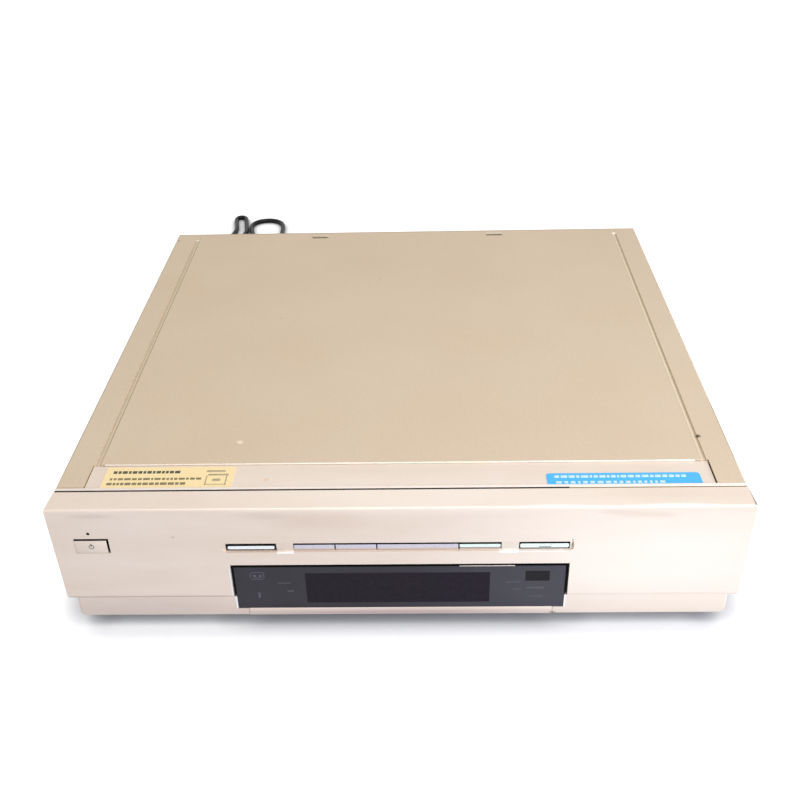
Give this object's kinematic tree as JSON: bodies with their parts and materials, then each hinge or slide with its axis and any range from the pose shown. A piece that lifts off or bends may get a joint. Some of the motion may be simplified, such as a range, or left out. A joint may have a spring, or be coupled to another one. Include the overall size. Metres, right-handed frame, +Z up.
{
  "type": "video deck",
  "caption": "Full-width home video deck with a flip-down front door, two cassette ways behind it, a smoked display and a mains cord.",
  "frame": {"origin": "on the surface the deck stands on, under the middle of the deck's width and depth, without its cord", "axes": "+X right seen from the front, +Y to the back, +Z up"},
  "size_m": [0.463, 0.6921, 0.099],
  "materials": {
    "cover_paint": "fine-grained matte champagne paint",
    "front_plastic": "satin champagne paint on moulded plastic",
    "button_silver": "metallised plastic",
    "smoked_window": "smoked acrylic",
    "black_plastic": "fine matte",
    "display_glass": "dark sealed display tube",
    "steel_plate": "zinc-plated sheet",
    "screw_steel": "plated screws",
    "aluminium_part": "machined",
    "circuit_board": "paper-phenolic board",
    "jack_metal": "nickel plate",
    "grey_plastic": "moulded",
    "yellow_paper": "printed sticker",
    "blue_paper": "printed sticker",
    "rubber_pad": "matte",
    "rubber_roller": "smooth",
    "cord_black": "satin PVC jacket",
    "light_pipe": "clear red",
    "transformer_iron": "laminated"
  },
  "bodies": {
    "deck": {"chassis_base": "steel_plate", "feet": "black_plastic", "foot_pads": "rubber_pad", "top_cover": "cover_paint", "cover_screws": "screw_steel", "rear_panel": "steel_plate", "rear_jacks": "jack_metal", "tuner_module": "steel_plate", "front_bezel": "front_plastic", "yellow_label": "yellow_paper", "blue_label": "blue_paper", "display_window": "smoked_window", "display_holder": "black_plastic", "display_tube": "display_glass", "display_sill": "front_plastic", "front_board": "circuit_board", "front_jacks": "jack_metal", "vhs_mech_plate": "steel_plate", "vhs_side_frames": "steel_plate", "vhs_drum_base": "aluminium_part", "vhs_capstan_motor": "black_plastic", "vhs_loading_motor": "black_plastic", "dv_mech_plate": "steel_plate", "dv_side_frames": "steel_plate", "dv_drum_base": "aluminium_part", "power_board": "circuit_board", "transformer": "transformer_iron", "power_capacitors": "black_plastic", "heatsink": "aluminium_part", "main_board": "circuit_board", "strain_relief": "cord_black", "power_cord": "cord_black", "cord_coil": "cord_black", "power_plug": "cord_black"},
    "door": {"front_door": "front_plastic", "door_liner": "black_plastic", "door_board": "circuit_board", "power_light": "light_pipe"},
    "power_button": {"power_button": "front_plastic"},
    "dv_eject_button": {"dv_eject_button": "button_silver"},
    "rewind_button": {"rewind_button": "button_silver"},
    "forward_button": {"forward_button": "button_silver"},
    "play_button": {"play_button": "button_silver"},
    "stop_button": {"stop_button": "button_silver"},
    "vhs_eject_button": {"vhs_eject_button": "button_silver"},
    "vhs_flap": {"vhs_flap": "black_plastic"},
    "dv_flap": {"dv_flap": "black_plastic"},
    "vhs_cassette_holder": {"vhs_cassette_holder": "steel_plate"},
    "dv_cassette_holder": {"dv_cassette_holder": "steel_plate"},
    "vhs_head_drum": {"vhs_head_drum": "aluminium_part"},
    "vhs_supply_reel": {"vhs_supply_reel": "grey_plastic"},
    "vhs_takeup_reel": {"vhs_takeup_reel": "grey_plastic"},
    "vhs_capstan": {"vhs_capstan": "steel_plate"},
    "vhs_pinch_arm": {"vhs_pinch_arm": "steel_plate"},
    "vhs_pinch_roller": {"vhs_pinch_roller": "rubber_roller"},
    "vhs_supply_guide": {"vhs_supply_guide": "steel_plate"},
    "vhs_takeup_guide": {"vhs_takeup_guide": "steel_plate"},
    "dv_head_drum": {"dv_head_drum": "aluminium_part"},
    "dv_supply_reel": {"dv_supply_reel": "grey_plastic"},
    "dv_takeup_reel": {"dv_takeup_reel": "grey_plastic"}
  },
  "joints": [
    {"name": "door_hinge", "type": "hinge", "parent": "deck", "child": "door", "pos_m": [0, -0.2065, 0.031], "axis": [1, 0, 0], "range_deg": [0, 90]},
    {"name": "power_button_press", "type": "slide", "parent": "door", "child": "power_button", "axis": [0, 1, 0], "range_m": [0, 0.0012], "stiffness_N_per_m": 400, "springref_m": -0.001},
    {"name": "dv_eject_button_press", "type": "slide", "parent": "door", "child": "dv_eject_button", "axis": [0, 1, 0], "range_m": [0, 0.0012], "stiffness_N_per_m": 400, "springref_m": -0.001},
    {"name": "rewind_button_press", "type": "slide", "parent": "door", "child": "rewind_button", "axis": [0, 1, 0], "range_m": [0, 0.0012], "stiffness_N_per_m": 400, "springref_m": -0.001},
    {"name": "forward_button_press", "type": "slide", "parent": "door", "child": "forward_button", "axis": [0, 1, 0], "range_m": [0, 0.0012], "stiffness_N_per_m": 400, "springref_m": -0.001},
    {"name": "play_button_press", "type": "slide", "parent": "door", "child": "play_button", "axis": [0, 1, 0], "range_m": [0, 0.0012], "stiffness_N_per_m": 400, "springref_m": -0.001},
    {"name": "stop_button_press", "type": "slide", "parent": "door", "child": "stop_button", "axis": [0, 1, 0], "range_m": [0, 0.0012], "stiffness_N_per_m": 400, "springref_m": -0.001},
    {"name": "vhs_eject_button_press", "type": "slide", "parent": "door", "child": "vhs_eject_button", "axis": [0, 1, 0], "range_m": [0, 0.0012], "stiffness_N_per_m": 400, "springref_m": -0.001},
    {"name": "vhs_flap_hinge", "type": "hinge", "parent": "deck", "child": "vhs_flap", "pos_m": [0.101, -0.1882, 0.0895], "axis": [1, 0, 0], "range_deg": [0, 85], "stiffness_Nm_per_rad": 0.02, "springref_deg": -11.46},
    {"name": "dv_flap_hinge", "type": "hinge", "parent": "deck", "child": "dv_flap", "pos_m": [-0.101, -0.1882, 0.0825], "axis": [1, 0, 0], "range_deg": [0, 85], "stiffness_Nm_per_rad": 0.01, "springref_deg": -11.46},
    {"name": "vhs_holder_slide", "type": "slide", "parent": "deck", "child": "vhs_cassette_holder", "axis": [0, 1, 0], "range_m": [0, 0.05]},
    {"name": "dv_holder_slide", "type": "slide", "parent": "deck", "child": "dv_cassette_holder", "axis": [0, 1, 0], "range_m": [0, 0.03]},
    {"name": "vhs_head_drum_spin", "type": "hinge", "parent": "deck", "child": "vhs_head_drum", "pos_m": [0.101, 0.0295, 0.045], "axis": [0, 0, 1], "continuous": true},
    {"name": "vhs_supply_reel_spin", "type": "hinge", "parent": "deck", "child": "vhs_supply_reel", "pos_m": [0.055, -0.0455, 0.028], "axis": [0, 0, 1], "continuous": true},
    {"name": "vhs_takeup_reel_spin", "type": "hinge", "parent": "deck", "child": "vhs_takeup_reel", "pos_m": [0.147, -0.0455, 0.028], "axis": [0, 0, 1], "continuous": true},
    {"name": "vhs_capstan_spin", "type": "hinge", "parent": "deck", "child": "vhs_capstan", "pos_m": [0.161, 0.0115, 0.03], "axis": [0, 0, 1], "continuous": true},
    {"name": "dv_head_drum_spin", "type": "hinge", "parent": "deck", "child": "dv_head_drum", "pos_m": [-0.101, -0.0505, 0.042], "axis": [0, 0, 1], "continuous": true},
    {"name": "dv_supply_reel_spin", "type": "hinge", "parent": "deck", "child": "dv_supply_reel", "pos_m": [-0.125, -0.0985, 0.035], "axis": [0, 0, 1], "continuous": true},
    {"name": "dv_takeup_reel_spin", "type": "hinge", "parent": "deck", "child": "dv_takeup_reel", "pos_m": [-0.077, -0.0985, 0.035], "axis": [0, 0, 1], "continuous": true},
    {"name": "pinch_arm_swing", "type": "hinge", "parent": "deck", "child": "vhs_pinch_arm", "pos_m": [0.1688, 0.0375, 0.026], "axis": [0, 0, -1], "range_deg": [0, 20]},
    {"name": "pinch_roller_spin", "type": "hinge", "parent": "vhs_pinch_arm", "child": "vhs_pinch_roller", "pos_m": [0.17769, 0.01307, 0.036], "axis": [0, 0, 1], "continuous": true},
    {"name": "supply_guide_slide", "type": "slide", "parent": "deck", "child": "vhs_supply_guide", "axis": [-0.2873, 0.9578, 0], "range_m": [0, 0.04]},
    {"name": "takeup_guide_slide", "type": "slide", "parent": "deck", "child": "vhs_takeup_guide", "axis": [0.2873, 0.9578, 0], "range_m": [0, 0.04]}
  ],
  "couplings": [
    {"joint": "takeup_guide_slide", "follows": "supply_guide_slide", "ratio": 1}
  ]
}
